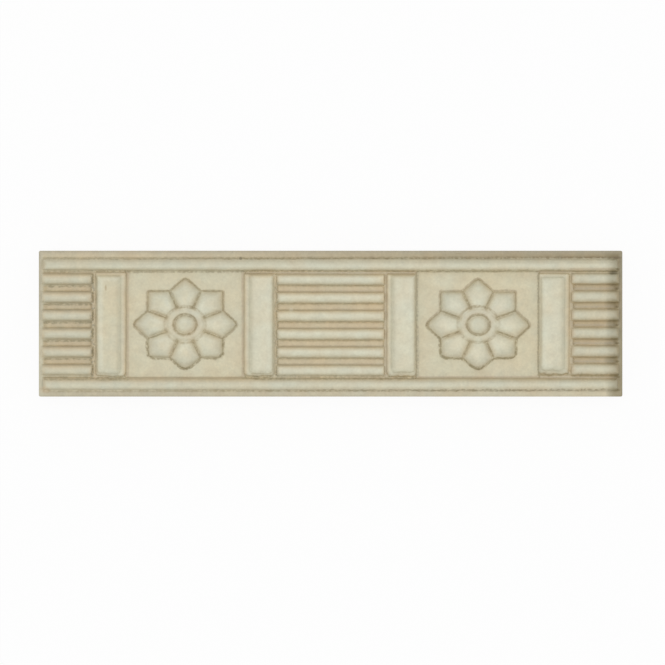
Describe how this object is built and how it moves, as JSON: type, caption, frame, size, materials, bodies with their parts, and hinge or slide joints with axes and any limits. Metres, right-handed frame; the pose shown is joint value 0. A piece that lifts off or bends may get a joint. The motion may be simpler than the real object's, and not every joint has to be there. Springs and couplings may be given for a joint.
{
  "type": "border tile",
  "caption": "Long narrow glazed ceramic border tile with relief: rosettes, reeded panels and raised bars between half-round rails.",
  "frame": {"origin": "middle of the flat back, on the land between the keying recesses", "axes": "+X along the tile, +Y across it towards the edge that is upper in the picture, +Z out of the relief face"},
  "size_m": [0.152, 0.038, 0.0095],
  "materials": {
    "glaze": "satin glaze"
  },
  "bodies": {
    "root": {"border_tile": "glaze"}
  },
  "joints": []
}
